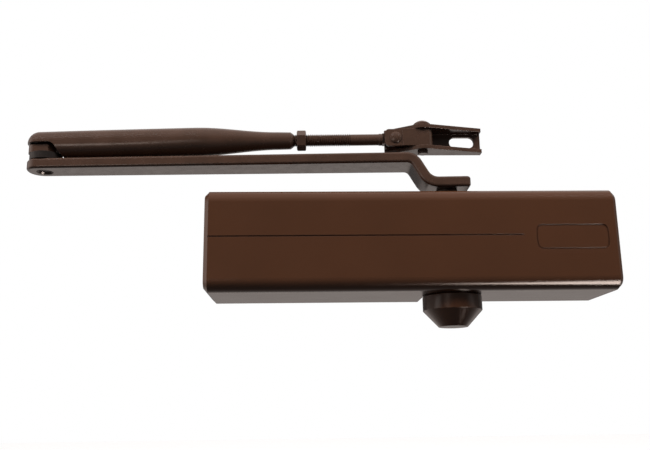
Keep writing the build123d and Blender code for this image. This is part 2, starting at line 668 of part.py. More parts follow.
def bearing_nut():
    """The threaded ring that closes the upper end of the spindle boss."""
    start = NUT_START + SEAT
    end = start + NUT_LENGTH
    nut = ring(NUT_RADIUS - FIT, JOURNAL_RADIUS + END_PLAY, start, end)
    nut -= rod_z(SEAL_RADIUS + FIT, start, start + SEAL_LENGTH + 2 * SEAT)
    for place in PolarLocations(NUT_HOLE_CIRCLE, NUT_HOLE_COUNT):
        nut -= place * rod_z(NUT_HOLE_RADIUS, end - NUT_THREAD_DEPTH, end)
    return nut


def spindle_seal():
    """The upper shaft seal, inside its nut."""
    start = NUT_START + 2 * SEAT
    return ring(SEAL_RADIUS, JOURNAL_RADIUS + RUN, start, start + SEAL_LENGTH)


def valve():
    """A regulating valve: slotted head, O-ring groove and a needle tip, along Y."""
    groove = VALVE_RADIUS - VALVE_RING_SECTION
    ring_from = VALVE_RING_DEPTH - VALVE_RING_SECTION / 2 - SEAT
    ring_to = VALVE_RING_DEPTH + VALVE_RING_SECTION / 2 + SEAT
    shoulder = VALVE_DEPTH - VALVE_TIP_LENGTH
    stem = turned(
        (0, 0), (VALVE_RADIUS - FIT, 0), (VALVE_RADIUS - FIT, ring_from), (groove, ring_from),
        (groove, ring_to), (VALVE_RADIUS - FIT, ring_to), (VALVE_RADIUS - FIT, shoulder),
        (VALVE_TIP_RADIUS, VALVE_DEPTH - SEAT), (0, VALVE_DEPTH - SEAT),
    )
    slot = block(-VALVE_RADIUS, VALVE_RADIUS, -VALVE_SLOT / 2, VALVE_SLOT / 2, 0, VALVE_SLOT_DEPTH)
    return Rot(-90, 0, 0) * (stem - slot)


def valve_o_rings():
    """The sealing rings of the three valves."""
    outer = VALVE_RADIUS
    seal = Rot(90, 0, 0) * o_ring(outer - VALVE_RING_SECTION + O_RING_SQUEEZE, outer)
    return [Pos(x, VALVE_BLOCK_FRONT + VALVE_RING_DEPTH, VALVE_Z) * seal for x in VALVE_XS.values()]


def cover_profile(inset):
    """The cover's section in the YZ plane, open towards the door."""
    half = COVER_TOP - inset
    front = -COVER_DEPTH + inset
    outline = make_face(Polyline((0, -half), (0, half), (front, half), (front, -half), close=True))
    corners = outline.vertices().sort_by(Axis.X)[:2]
    return Plane.YZ * fillet(corners, COVER_EDGE_RADIUS - inset)


def front_panel(inset):
    """The panel's outline on the cover's front: a rounded rectangle with bowed ends."""
    x = PANEL_LENGTH / 2 - inset
    z = PANEL_HEIGHT / 2 - inset
    outline = make_face([
        Line((-x, -z), (x, -z)), ThreePointArc((x, -z), (x + PANEL_BOW, 0), (x, z)),
        Line((x, z), (-x, z)), ThreePointArc((-x, z), (-x - PANEL_BOW, 0), (-x, -z)),
    ])
    outline = fillet(outline.vertices(), PANEL_CORNER - inset)
    front = Plane(origin=(PANEL_X, -COVER_DEPTH, PANEL_Z), x_dir=(1, 0, 0), z_dir=(0, -1, 0))
    return front * outline


def cover_front_marks():
    """What is sunk into the cover's front: the line and the panel with its groove."""
    line = block(
        LINE_LEFT, LINE_RIGHT, -COVER_DEPTH, -COVER_DEPTH + LINE_DEPTH,
        LINE_Z - LINE_WIDTH / 2, LINE_Z + LINE_WIDTH / 2,
    )
    groove = extrude(front_panel(0), -PANEL_GROOVE_DEPTH)
    groove -= extrude(front_panel(PANEL_GROOVE_WIDTH), -PANEL_GROOVE_DEPTH)
    return line + groove + extrude(front_panel(PANEL_GROOVE_WIDTH), -PANEL_DEPTH)


def cover():
    """The full cover: a shell with notches for the spindle above and below."""
    length = COVER_LENGTH
    shell = Pos(-length / 2, 0, 0) * extrude(cover_profile(0), length)
    ends = shell.faces().sort_by(Axis.X)
    rims = ends[0].edges() + ends[-1].edges()
    rims = rims.filter_by(lambda edge: edge.center().Y < -COVER_WALL)
    shell = chamfer(rims, COVER_BEVEL)
    room = length - 2 * COVER_WALL
    shell -= Pos(-room / 2, 0, 0) * extrude(cover_profile(COVER_WALL), room)
    shell -= cover_front_marks()
    half = RIB_THICKNESS / 2
    for x in RIB_XS:
        front = -COVER_DEPTH + COVER_WALL / 2
        rib = block(x - half, x + half, front, BORE_Y, -RIB_HEIGHT / 2, RIB_HEIGHT / 2)
        shell += rib - BODY_AXIS * rod_x(TUBE_RADIUS + END_PLAY, x - half, x + half)
    notch = rod_z(NOTCH_RADIUS, -COVER_TOP, COVER_TOP)
    notch += block(-NOTCH_RADIUS, NOTCH_RADIUS, 0, -SPINDLE_Y, -COVER_TOP, COVER_TOP)
    shell -= SPINDLE * notch
    reach = COVER_SCREW_HEAD_RADIUS - COVER_SCREW_RADIUS
    for side in (-1, 1):
        hole = turned_x(
            (0, length / 2 - COVER_WALL), (COVER_SCREW_RADIUS + SEAT, length / 2 - COVER_WALL),
            (COVER_SCREW_RADIUS + SEAT, length / 2 - reach),
            (COVER_SCREW_HEAD_RADIUS + SEAT, length / 2), (0, length / 2),
        )
        shell -= Pos(0, FOOT_MIDDLE_Y, 0) * Rot(0, 0, QUARTER * (1 - side)) * hole
    return shell


def cover_screws():
    """The two countersunk screws that hold the cover."""
    face = COVER_LENGTH / 2 - SEAT
    reach = COVER_SCREW_HEAD_RADIUS - COVER_SCREW_RADIUS
    inner = FOOT_END - COVER_SCREW_LENGTH + SEAT
    screw = turned_x(
        (0, inner), (COVER_SCREW_RADIUS, inner), (COVER_SCREW_RADIUS, face - reach),
        (COVER_SCREW_HEAD_RADIUS, face), (0, face),
    )
    half = COVER_SCREW_SLOT / 2
    for turn in (0, 90):
        cross = block(
            face - COVER_SCREW_SLOT, face, -half, half,
            -COVER_SCREW_HEAD_RADIUS / 2, COVER_SCREW_HEAD_RADIUS / 2,
        )
        screw -= Rot(turn, 0, 0) * cross
    return [Pos(0, FOOT_MIDDLE_Y, 0) * Rot(0, 0, QUARTER * (1 - side)) * screw for side in (-1, 1)]


def pinion_cap():
    """The cap over the spindle's lower end: it snaps over the lower bearing nut."""
    top = -COVER_TOP - SEAT
    side = top - CAP_SIDE
    bottom = top - CAP_HEIGHT
    spigot_top = -BOSS_HALF_HEIGHT - SEAT
    spigot_inner = NUT_RADIUS + FIT
    spigot_outer = spigot_inner + CAP_SPIGOT_WALL
    inner = CAP_RADIUS - CAP_WALL
    cone_shift = CAP_WALL * (math.sqrt(2) - 1)
    return turned(
        (0, bottom), (CAP_FLAT_RADIUS, bottom), (CAP_RADIUS, side), (CAP_RADIUS, top - CAP_RIM),
        (CAP_RADIUS - CAP_RIM, top), (spigot_outer, top), (spigot_outer, spigot_top),
        (spigot_inner, spigot_top), (spigot_inner, top - CAP_WALL), (inner, top - CAP_WALL),
        (inner, side + cone_shift), (CAP_FLAT_RADIUS - cone_shift, bottom + CAP_WALL),
        (0, bottom + CAP_WALL),
    )


def arm_side():
    """The main arm's side view, from its squared end at the spindle to the elbow."""
    turn = math.radians(ARM_BEND_ANGLE)
    half = ARM_THICKNESS / 2
    bends = ARM_BEND_RADIUS + ARM_UPPER_BEND_RADIUS
    straight = (ARM_RISE - bends * (1 - math.cos(turn))) / math.sin(turn)
    start = ARM_BEND_START
    end = start + bends * math.sin(turn) + straight * math.cos(turn)

    def low(side, angle):
        radius = ARM_BEND_RADIUS + side * half
        centre_z = ARM_LOWER_BOTTOM + half + ARM_BEND_RADIUS
        return (start + radius * math.sin(angle), centre_z - radius * math.cos(angle))

    def high(side, angle):
        radius = ARM_UPPER_BEND_RADIUS + side * half
        centre_z = ARM_UPPER_TOP - half - ARM_UPPER_BEND_RADIUS
        return (end - radius * math.sin(angle), centre_z + radius * math.cos(angle))

    inner = -1
    outer = 1
    far = ARM_LENGTH + ARM_NOSE
    return make_face([
        Line((-ARM_TAIL, ARM_LOWER_BOTTOM), low(outer, 0)),
        ThreePointArc(low(outer, 0), low(outer, turn / 2), low(outer, turn)),
        Line(low(outer, turn), high(inner, turn)),
        ThreePointArc(high(inner, turn), high(inner, turn / 2), high(inner, 0)),
        Line(high(inner, 0), (far, ARM_UPPER_BOTTOM)),
        Line((far, ARM_UPPER_BOTTOM), (far, ARM_UPPER_TOP)),
        Line((far, ARM_UPPER_TOP), high(outer, 0)),
        ThreePointArc(high(outer, 0), high(outer, turn / 2), high(outer, turn)),
        Line(high(outer, turn), low(inner, turn)),
        ThreePointArc(low(inner, turn), low(inner, turn / 2), low(inner, 0)),
        Line(low(inner, 0), (-ARM_TAIL, ARM_LOWER_TOP)),
        Line((-ARM_TAIL, ARM_LOWER_TOP), (-ARM_TAIL, ARM_LOWER_BOTTOM)),
    ])


def arm_plan():
    """The main arm's plan: it narrows to the elbow, where its end is rounded."""
    near = ARM_WIDTH_SPINDLE / 2
    far = ARM_WIDTH_ELBOW / 2
    end = ARM_LENGTH + ARM_NOSE
    outline = make_face(Polyline((-ARM_TAIL, -near), (end, -far), (end, far), (-ARM_TAIL, near), close=True))
    corners = outline.vertices().sort_by(Axis.X)
    outline = fillet(corners[2:], ARM_NOSE_CORNER)
    return fillet(outline.vertices().sort_by(Axis.X)[:2], ARM_TAIL_CORNER)


def main_arm():
    """The main arm, along +X from the spindle, with its holes."""
    side = extrude(Plane.XZ * arm_side(), ARM_WIDTH_SPINDLE, both=True)
    plan = extrude(arm_plan(), ARM_UPPER_TOP + ARM_THICKNESS)
    arm = side & plan
    walls = arm.faces().filter_by(lambda face: abs(face.normal_at().Z) < UPRIGHT)
    arm = fillet(walls.edges().filter_by(Axis.Z, reverse=True), ARM_EDGE)
    arm -= block(
        -SQUARE_WIDTH / 2 - FIT, SQUARE_WIDTH / 2 + FIT, -SQUARE_WIDTH / 2 - FIT, SQUARE_WIDTH / 2 + FIT,
        ARM_LOWER_BOTTOM, ARM_LOWER_TOP,
    )
    arm -= rod_z(ARM_SCREW_HEAD_RADIUS + FIT, ARM_LOWER_TOP - ARM_COUNTERBORE, ARM_LOWER_TOP + ARM_RISE / 2)
    hole = ELBOW_PIN_RADIUS + RUN
    arm -= Pos(ARM_LENGTH, 0, 0) * turned(
        (0, ARM_UPPER_BOTTOM), (ELBOW_SINK_RADIUS, ARM_UPPER_BOTTOM),
        (hole, ARM_UPPER_BOTTOM + ELBOW_SINK_DEPTH), (hole, ARM_UPPER_TOP), (0, ARM_UPPER_TOP),
    )
    return arm


def arm_screw():
    """The flush screw that holds the main arm on the spindle."""
    top = ARM_LOWER_TOP - SEAT / 2
    under = top - ARM_SCREW_HEAD_LENGTH
    screw = rod_z(ARM_SCREW_HEAD_RADIUS, under, top)
    screw = chamfer(screw.edges().group_by(Axis.Z)[-1], ARM_SCREW_CHAMFER)
    screw += rod_z(ARM_SCREW_RADIUS, under - ARM_SCREW_LENGTH, under)
    socket = extrude(RegularPolygon(ARM_SCREW_SOCKET / 2, HEXAGON, major_radius=False), -ARM_SCREW_HEAD_LENGTH)
    return screw - Pos(0, 0, top) * socket


def elbow_washer():
    """The spacer between main arm and forearm."""
    start = ARM_UPPER_TOP + SEAT
    washer = ring(WASHER_RADIUS, ELBOW_PIN_RADIUS + RUN, start, start + WASHER_THICKNESS)
    return Pos(ARM_LENGTH, 0, 0) * washer


def elbow_rivet():
    """The elbow's rivet: flared below, in the arm's countersink, and headed above the lug."""
    recess = ARM_UPPER_BOTTOM + ELBOW_SINK_DEPTH / 2
    cone_end = ARM_UPPER_BOTTOM + ELBOW_SINK_DEPTH
    flare = ELBOW_SINK_RADIUS - (ELBOW_SINK_RADIUS - ELBOW_PIN_RADIUS) / 2 - SEAT
    shank = turned(
        (0, recess), (flare, recess), (ELBOW_PIN_RADIUS, cone_end), (ELBOW_PIN_RADIUS, LUG_TOP + SEAT),
        (0, LUG_TOP + SEAT),
    )
    head = dome(RIVET_HEAD_RADIUS, RIVET_HEAD_HEIGHT, RIVET_HEAD_RIM)
    return shank + Pos(0, 0, LUG_TOP + SEAT) * head


def elbow_lug():
    """The plate inside the forearm that turns on the elbow's rivet."""
    head = LUG_WIDTH / 2
    tail = LUG_TAIL_WIDTH / 2
    step = LUG_TAIL_START + head - tail
    outline = make_face(Polyline(
        (-LUG_NOSE, -head), (LUG_TAIL_START, -head), (step, -tail), (LUG_TAIL_END, -tail),
        (LUG_TAIL_END, tail), (step, tail), (LUG_TAIL_START, head), (-LUG_NOSE, head), close=True,
    ))
    outline = fillet(outline.vertices().sort_by(Axis.X)[:2], LUG_CORNER)
    outline -= Circle(ELBOW_PIN_RADIUS + FIT)
    return Pos(0, 0, LUG_BOTTOM) * extrude(outline, LUG_THICKNESS)


def tube_section(at, width, below, above, corner, inset):
    """A rounded section of the forearm tube, square to its axis."""
    plane = Plane(origin=(at, 0, (above - below) / 2), x_dir=(0, 1, 0), z_dir=(1, 0, 0))
    return plane * RectangleRounded(width - 2 * inset, below + above - 2 * inset, corner - inset)


def round_section(at, radius):
    """The tube's round section, in eight arcs that match the sides and corners of the others."""
    plane = Plane(origin=(at, 0, 0), x_dir=(0, 1, 0), z_dir=(1, 0, 0))
    arcs = []
    for side in range(4):
        start = QUARTER * side - TUBE_SIDE_ARC / 2
        arcs.append(CenterArc((0, 0), radius, start, TUBE_SIDE_ARC))
        arcs.append(CenterArc((0, 0), radius, start + TUBE_SIDE_ARC, QUARTER - TUBE_SIDE_ARC))
    return plane * make_face(arcs)


def tube_front(inset):
    """The forearm tube's part at the elbow, from its domed end to where it is round."""
    nose = (TUBE_NOSE_WIDTH, TUBE_NOSE_BELOW, TUBE_NOSE_ABOVE, TUBE_NOSE_CORNER, inset)
    middle = (TUBE_MIDDLE_WIDTH, TUBE_MIDDLE_BELOW, TUBE_MIDDLE_ABOVE, TUBE_MIDDLE_CORNER, inset)
    front = loft([
        tube_section(inset - TUBE_NOSE, *nose),
        tube_section(TUBE_MIDDLE_AT, *middle),
        round_section(TUBE_ROUND_AT, TUBE_ROUND_RADIUS - inset),
    ])
    end = front.faces().sort_by(Axis.X)[0]
    return fillet(end.edges(), TUBE_NOSE_ROUND - inset)


def tube_back():
    """The forearm tube's round part: shoulder, neck and chamfered end."""
    shoulder = Spline(
        (TUBE_ROUND_AT, TUBE_ROUND_RADIUS), (NECK_START, NECK_RADIUS), tangents=[(1, 0), (1, 0)]
    )
    rest = Polyline(
        (NECK_START, NECK_RADIUS), (NECK_END - NECK_CHAMFER_LENGTH, NECK_END_RADIUS),
        (NECK_END, NECK_END_RADIUS - NECK_CHAMFER), (NECK_END, 0), (TUBE_ROUND_AT, 0),
        (TUBE_ROUND_AT, TUBE_ROUND_RADIUS),
    )
    return revolve(Plane.XZ * make_face([shoulder, *rest.edges()]), Axis.X)


def tube_room():
    """The hollow inside the round part, down to the rod's bore."""
    radius = TUBE_ROUND_RADIUS - TUBE_WALL
    bore = ROD_RADIUS + RUN
    middle = (TUBE_ROUND_AT + NECK_BORE_START) / 2
    outline = make_face(Polyline(
        (TUBE_ROUND_AT, 0), (TUBE_ROUND_AT, radius), (middle, radius - TUBE_WALL / 2),
        (NECK_BORE_START, bore), (NECK_END, bore), (NECK_END, 0), close=True,
    ))
    return revolve(Plane.XZ * outline, Axis.X)


def tube_arch():
    """What is cut out under the domed end, where the elbow's lug and washer lie."""
    floor = -TUBE_NOSE_BELOW - TUBE_WALL
    left = -2 * TUBE_NOSE

    def on_round(turn):
        angle = math.radians(turn)
        return (ARCH_START + ARCH_ROUND * math.sin(angle), ARCH_TOP - ARCH_ROUND * (1 - math.cos(angle)))

    outline = make_face([
        Line((left, floor), (left, ARCH_TOP)), Line((left, ARCH_TOP), on_round(0)),
        ThreePointArc(on_round(0), on_round(ARCH_TURN / 2), on_round(ARCH_TURN)),
        Line(on_round(ARCH_TURN), (ARCH_END, floor)), Line((ARCH_END, floor), (left, floor)),
    ])
    return extrude(Plane.XZ * outline, TUBE_NOSE_WIDTH, both=True)


def forearm_tube():
    """The forearm tube along +X from the elbow."""
    tube = tube_front(0) + tube_back()
    tube -= tube_front(TUBE_WALL)
    tube -= tube_room()
    return tube - tube_arch()


def rod_outline():
    """Half outline of the rod's turned part, with the thread as rings."""
    root = ROD_RADIUS - THREAD_DEPTH
    flank = THREAD_PITCH / 2 - THREAD_CREST
    count = int((THREAD_END - THREAD_START) / THREAD_PITCH)
    points = [(0, ROD_INNER_END), (root, ROD_INNER_END), (root, THREAD_START)]
    for index in range(count):
        start = THREAD_START + index * THREAD_PITCH + THREAD_CREST
        crest = start + flank
        points += [(root, start), (ROD_RADIUS, crest)]
        points += [(ROD_RADIUS, crest + THREAD_CREST), (root, crest + THREAD_CREST + flank)]
    shank_end = TILT_AT - EYE_NECK_LENGTH
    collar = shank_end - COLLAR_LENGTH
    points += [(root, THREAD_END), (SHANK_RADIUS, THREAD_END), (SHANK_RADIUS, collar)]
    points += [(COLLAR_RADIUS, collar + COLLAR_CHAMFER), (COLLAR_RADIUS, shank_end), (0, shank_end)]
    return points


def adjusting_rod():
    """The rod along +X: thread, shank, collar and flat eye."""
    rod = turned_x(*rod_outline())
    half = EYE_THICKNESS / 2
    height = EYE_NECK_HALF_HEIGHT
    rod += block(TILT_AT - EYE_NECK_LENGTH, TILT_AT, -half, half, -height, height)
    rod += Pos(TILT_AT, 0, 0) * rod_y(EYE_RADIUS, -half, half)
    return rod - Pos(TILT_AT, 0, 0) * rod_y(TILT_PIN_RADIUS + RUN, -half, half)


def jam_nut():
    """The hexagon nut that locks the rod, with chamfered corners."""
    corner = JAM_NUT_FLATS / math.sqrt(3)
    face = corner - JAM_NUT_CHAMFER
    start = NECK_END + JAM_NUT_GAP
    end = start + JAM_NUT_LENGTH
    slope = JAM_NUT_CHAMFER / 2
    hexagon = Rot(0, 90, 0) * extrude(RegularPolygon(corner, HEXAGON), end)
    shape = turned_x(
        (0, start), (face, start), (corner, start + slope),
        (corner, end - slope), (face, end), (0, end),
    )
    nut = (Rot(JAM_NUT_TURN, 0, 0) * hexagon) & shape
    return nut - rod_x(ROD_RADIUS + RUN, start, end)


def knuckle_block():
    """The knuckle: a fork on the rod's eye and a block that turns on the swivel pin."""
    half_height = KNUCKLE_HEIGHT / 2
    half_fork = FORK_THICKNESS / 2
    half_block = KNUCKLE_THICKNESS / 2
    fork = block(
        TILT_AT - FORK_NOSE, TILT_AT + FORK_SLOT_DEPTH, -half_fork, half_fork, -half_height, half_height
    )
    fork = fillet(fork.edges().filter_by(Axis.Y).group_by(Axis.X)[0], FORK_CORNER)
    body = block(
        TILT_AT + KNUCKLE_START, SWIVEL_AT + KNUCKLE_TAIL, -half_block, half_block, -half_height, half_height
    )
    body = fillet(body.edges().filter_by(Axis.Z).group_by(Axis.X)[-1], KNUCKLE_CORNER)
    knuckle = fork + body
    slot = FORK_SLOT / 2
    knuckle -= block(
        TILT_AT - FORK_NOSE, TILT_AT + FORK_SLOT_DEPTH, -slot, slot, -half_height, half_height
    )
    knuckle -= Pos(TILT_AT, 0, 0) * rod_y(TILT_PIN_RADIUS + FIT, -half_fork, half_fork)
    return knuckle - Pos(SWIVEL_AT, 0, 0) * rod_z(SWIVEL_PIN_RADIUS + RUN, -half_height, half_height)


def tilt_pin():
    """The rivet through the fork and the rod's eye, domed at both ends."""
    half = FORK_THICKNESS / 2 + SEAT / 2
    pin = rod_y(TILT_PIN_RADIUS, -half, half)
    head = dome(TILT_HEAD_RADIUS, TILT_HEAD_HEIGHT, TILT_HEAD_RIM)
    pin += Pos(0, -half, 0) * Rot(90, 0, 0) * head
    pin += Pos(0, half, 0) * Rot(-90, 0, 0) * head
    return Pos(TILT_AT, 0, 0) * pin


def flange_plan():
    """The shoe's flange in plan: widest round the swivel pin, narrow at both ends."""
    back = PIN_TO_WEB + SHOE_GAUGE
    left = Rectangle(FLANGE_END, FLANGE_LEFT_WIDTH)
    left = Pos(FLANGE_END / 2 - SHOE_LEFT, back - FLANGE_LEFT_WIDTH / 2) * left
    right = Rectangle(FLANGE_END, FLANGE_RIGHT_WIDTH)
    right = Pos(SHOE_RIGHT - FLANGE_END / 2, back - FLANGE_RIGHT_WIDTH / 2) * right
    edges = [*left.edges(), *right.edges(), *Circle(FLANGE_RADIUS).edges()]
    return make_hull(edges)


def shoe():
    """The shoe: a channel with its web against the frame, about the swivel pin."""
    back = PIN_TO_WEB + SHOE_GAUGE
    half = SHOE_HALF_HEIGHT
    body = extrude(flange_plan(), half, both=True)
    body = fillet(body.edges().filter_by(Axis.X).group_by(Axis.Y)[-1], SHOE_BEND)
    room = block(-SHOE_LEFT, SHOE_RIGHT, -2 * back, PIN_TO_WEB, -SHOE_HALF_GAP, SHOE_HALF_GAP)
    room = fillet(room.edges().filter_by(Axis.X).group_by(Axis.Y)[-1], SHOE_BEND / 2)
    body -= room
    slot = Rot(90, 0, 0) * extrude(SlotOverall(SLOT_LENGTH, SLOT_WIDTH), 2 * back, both=True)
    for x in (SLOT_FROM_PIN, SLOT_FROM_PIN - SLOT_SPACING):
        body -= (Pos(x, 0, 0) * slot) & block(-SHOE_LEFT, SHOE_RIGHT, PIN_TO_WEB, back, -half, half)
    return body - rod_z(SWIVEL_PIN_RADIUS + FIT, -half, half)


def swivel_pin():
    """The upright pin of the shoe, with its domed head above."""
    top = SHOE_HALF_HEIGHT + SEAT
    bottom = -SHOE_HALF_HEIGHT - SWIVEL_PIN_BELOW
    pin = rod_z(SWIVEL_PIN_RADIUS, bottom, top)
    pin = chamfer(pin.edges().group_by(Axis.Z)[0], SWIVEL_PIN_CHAMFER)
    return pin + Pos(0, 0, top) * dome(SWIVEL_HEAD_RADIUS, SWIVEL_HEAD_HEIGHT, SWIVEL_HEAD_RIM)


def on(place, shapes):
    """A list of shapes moved to their place."""
    return [place * shape for shape in shapes]


def below(shape):
    """The lower twin of a piece of the spindle's bearings."""
    return mirror(shape, Plane.XY)


def nodes():
    """Every piece of the closer, by name; identical small pieces share a name."""
    outer_coil = coil_spring(MAIN_SPRING_RADIUS, MAIN_SPRING_WIRE, MAIN_SPRING_TURNS, False)
    inner_coil = coil_spring(INNER_SPRING_RADIUS, INNER_SPRING_WIRE, INNER_SPRING_TURNS, True)
    pieces = {
        "closer_body": [closer_body()],
        "cover": [cover()],
        "cover_screws": cover_screws(),
        "pinion_cap": [SPINDLE * pinion_cap()],
        "valve_end_plug": [BODY_AXIS * Pos(TUBE_RIGHT, 0, 0) * end_plug(False)],
        "spring_end_plug": [BODY_AXIS * Pos(TUBE_LEFT, 0, 0) * Rot(0, 0, 180) * end_plug(True)],
        "plug_o_rings": plug_o_rings(),
        "spring_adjusting_screw": [BODY_AXIS * adjusting_screw()],
        "screw_o_ring": [BODY_AXIS * screw_o_ring()],
        "spring_plate": [BODY_AXIS * spring_plate()],
        "main_spring": [BODY_AXIS * outer_coil],
        "inner_spring": [BODY_AXIS * inner_coil],
        "rack_piston": [BODY_AXIS * rack_piston()],
        "check_ball": [BODY_AXIS * check_ball()],
        "check_retainer": [BODY_AXIS * check_retainer()],
        "pinion_spindle": [SPINDLE * pinion_spindle()],
        "upper_bearing_cup": [SPINDLE * bearing_cup()],
        "lower_bearing_cup": [SPINDLE * below(bearing_cup())],
        "upper_needles": on(SPINDLE, needles()),
        "lower_needles": on(SPINDLE, [below(needle) for needle in needles()]),
        "upper_bearing_nut": [SPINDLE * bearing_nut()],
        "lower_bearing_nut": [SPINDLE * below(bearing_nut())],
        "spindle_seals": on(SPINDLE, mirrored_pair(spindle_seal())),
        "valve_o_rings": valve_o_rings(),
        "main_arm": [ARM * main_arm()],
        "arm_screw": [SPINDLE * arm_screw()],
        "elbow_washer": [ARM * elbow_washer()],
        "elbow_rivet": [FOREARM * elbow_rivet()],
        "elbow_lug": [FOREARM * elbow_lug()],
        "forearm_tube": [FOREARM_AXIS * forearm_tube()],
        "adjusting_rod": [FOREARM_AXIS * adjusting_rod()],
        "jam_nut": [FOREARM_AXIS * jam_nut()],
        "knuckle_block": [FOREARM_AXIS * knuckle_block()],
        "tilt_pin": [FOREARM_AXIS * tilt_pin()],
        "shoe": [SHOE * shoe()],
        "swivel_pin": [SHOE * swivel_pin()],
    }
    for name, x in VALVE_XS.items():
        pieces[name] = [Pos(x, VALVE_BLOCK_FRONT, VALVE_Z) * valve()]
    return pieces


os.makedirs("parts", exist_ok=True)
for node, shapes in nodes().items():
    solids = [solid for shape in shapes for solid in shape.solids()]
    export_step(solids[0] if len(solids) == 1 else Compound(children=solids), f"parts/{node}.step")
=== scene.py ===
import math

import bmesh
import bpy
from mathutils import Matrix, Vector


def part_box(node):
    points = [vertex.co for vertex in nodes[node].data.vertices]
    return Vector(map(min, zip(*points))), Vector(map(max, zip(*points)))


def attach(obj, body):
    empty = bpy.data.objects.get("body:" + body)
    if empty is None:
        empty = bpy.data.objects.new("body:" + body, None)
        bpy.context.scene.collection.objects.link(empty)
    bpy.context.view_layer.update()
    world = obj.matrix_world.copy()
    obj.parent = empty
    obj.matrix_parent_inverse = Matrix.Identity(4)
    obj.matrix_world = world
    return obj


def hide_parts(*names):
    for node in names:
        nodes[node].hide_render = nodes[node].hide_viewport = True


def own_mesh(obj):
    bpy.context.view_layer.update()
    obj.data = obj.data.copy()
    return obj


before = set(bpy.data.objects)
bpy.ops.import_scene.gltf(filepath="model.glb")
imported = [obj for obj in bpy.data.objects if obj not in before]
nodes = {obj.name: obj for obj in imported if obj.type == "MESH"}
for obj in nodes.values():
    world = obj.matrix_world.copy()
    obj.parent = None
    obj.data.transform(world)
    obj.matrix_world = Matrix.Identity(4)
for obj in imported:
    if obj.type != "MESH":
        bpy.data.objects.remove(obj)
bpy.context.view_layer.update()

# The photograph's camera, fitted to the cover's corners
CAMERA_AT = (-0.08315, -0.6175, -0.12055)
CAMERA_RIGHT = (0.99951, -0.02877, -0.0124)
CAMERA_UP = (0.00539, -0.23193, 0.9727)
CAMERA_LENS = 42.21

# The floor
FLOOR_Z = -0.42
FLOOR_SIZE = 14
FLOOR_GLOW = 0.6
FLOOR_GREY = (0.8, 0.8, 0.8, 1)

# Strengths of the studio's light, by where it comes from, and where the lamps point
BASE_LIGHT = 0.09
LEFT_LIGHT = 1.15
RIGHT_LIGHT = 0.45
TOP_LIGHT = 0.38
WARM_SKY = (1.0, 0.86, 0.79, 1)
BEHIND_BY_HEIGHT = ((-1.0, 0.10), (-0.6, 0.45), (-0.33, 0.86), (-0.2, 0.45), (-0.12, 0.36), (-0.04, 0.06),
                    (0.32, 0.06), (0.5, 0.38))
LAMP_TARGET = (-0.07, -0.04, 0.02)
WHITE_LAMP = (1, 1, 1)
WARM_LAMP = (1.0, 0.85, 0.76)
KEY_AZIMUTH = 50
KEY_ELEVATION = 44
KEY_DISTANCE = 2.4
KEY_SIZE = (1.2, 1.0)
KEY_POWER = 55.0

# Patches of colour and gloss, and lighter edges that are partly paint wear and partly a painted highlight:
# a share of noise is moved between two levels
PATCH_LEVELS = (0.3, 0.7)
GLOSS_PATCHES = 2.3         # patches of gloss are that much finer than those of colour
WEAR_AND_HIGHLIGHT_EDGE = (0.985, 0.86)   # how far the rounded edge leans from the face, as a cosine
WEAR_AND_HIGHLIGHT_MOST = 0.8
WEAR_AND_HIGHLIGHT_GRAIN = 900.0
WEAR_AND_HIGHLIGHT_LEVELS = (0.35, 0.6)
WEAR_AND_HIGHLIGHT_LEAST = 0.15
BEVEL_SAMPLES = 6

# Colours, as linear light
COVER_BROWN = (0.062, 0.0236, 0.0108, 1)
COVER_BROWN_WARM = (0.070, 0.0262, 0.0118, 1)
ARM_BROWN = (0.053, 0.0275, 0.0180, 1)
ARM_BROWN_WARM = (0.067, 0.0340, 0.0225, 1)
# Lighter brown of the rounded edges: partly paint wear, partly a painted highlight of light caught on the
# edges
WEAR_AND_HIGHLIGHT_BROWN = (0.140, 0.075, 0.055, 1)
CASTING_LIGHT = (0.46, 0.46, 0.47, 1)
CASTING_DARK = (0.33, 0.33, 0.34, 1)
STEEL_LIGHT = (0.56, 0.56, 0.57, 1)
STEEL_DARK = (0.40, 0.40, 0.41, 1)
# Dark oiled steel, also kept this dark as painted shade on the pinion spindle in the gap under the arm
OILED_AND_PAINTED_SHADE_LIGHT = (0.060, 0.036, 0.026, 1)
OILED_AND_PAINTED_SHADE_DARK = (0.030, 0.019, 0.014, 1)
BLACKENED_LIGHT = (0.016, 0.011, 0.009, 1)
BLACKENED_DARK = (0.010, 0.007, 0.006, 1)
SPRING_LIGHT = (0.22, 0.23, 0.26, 1)
SPRING_DARK = (0.13, 0.135, 0.15, 1)
BRASS_LIGHT = (0.70, 0.52, 0.22, 1)
BRASS_DARK = (0.52, 0.36, 0.13, 1)
RUBBER_LIGHT = (0.030, 0.030, 0.031, 1)
RUBBER_DARK = (0.016, 0.016, 0.017, 1)


def add(tree, kind, **values):
    """A node of a material. A value that is a socket is linked, another is set; a name with no such
    input is a property of the node."""
    node = tree.nodes.new(kind)
    for name, value in values.items():
        label = name.replace("_", " ")
        found = [s for s in node.inputs if s.name.lower() == label.lower() and s.enabled]
        if not found:
            setattr(node, name, value)
        elif isinstance(value, bpy.types.NodeSocket):
            tree.links.new(value, found[0])
        else:
            found[0].default_value = value
    return node


def noise(tree, where, scale, detail=3.0, roughness=0.5):
    """Noise with that many grains to the metre, about 0.5 on average."""
    made = add(tree, "ShaderNodeTexNoise", Vector=where, Scale=scale, Detail=detail, Roughness=roughness)
    return made.outputs["Fac"]


def between(tree, value, low, high, out_low, out_high):
    """The value moved from one range to another, and kept in it."""
    made = add(tree, "ShaderNodeMapRange")
    tree.links.new(value, made.inputs["Value"])
    for name, number in (("From Min", low), ("From Max", high), ("To Min", out_low), ("To Max", out_high)):
        made.inputs[name].default_value = number
    return made.outputs["Result"]


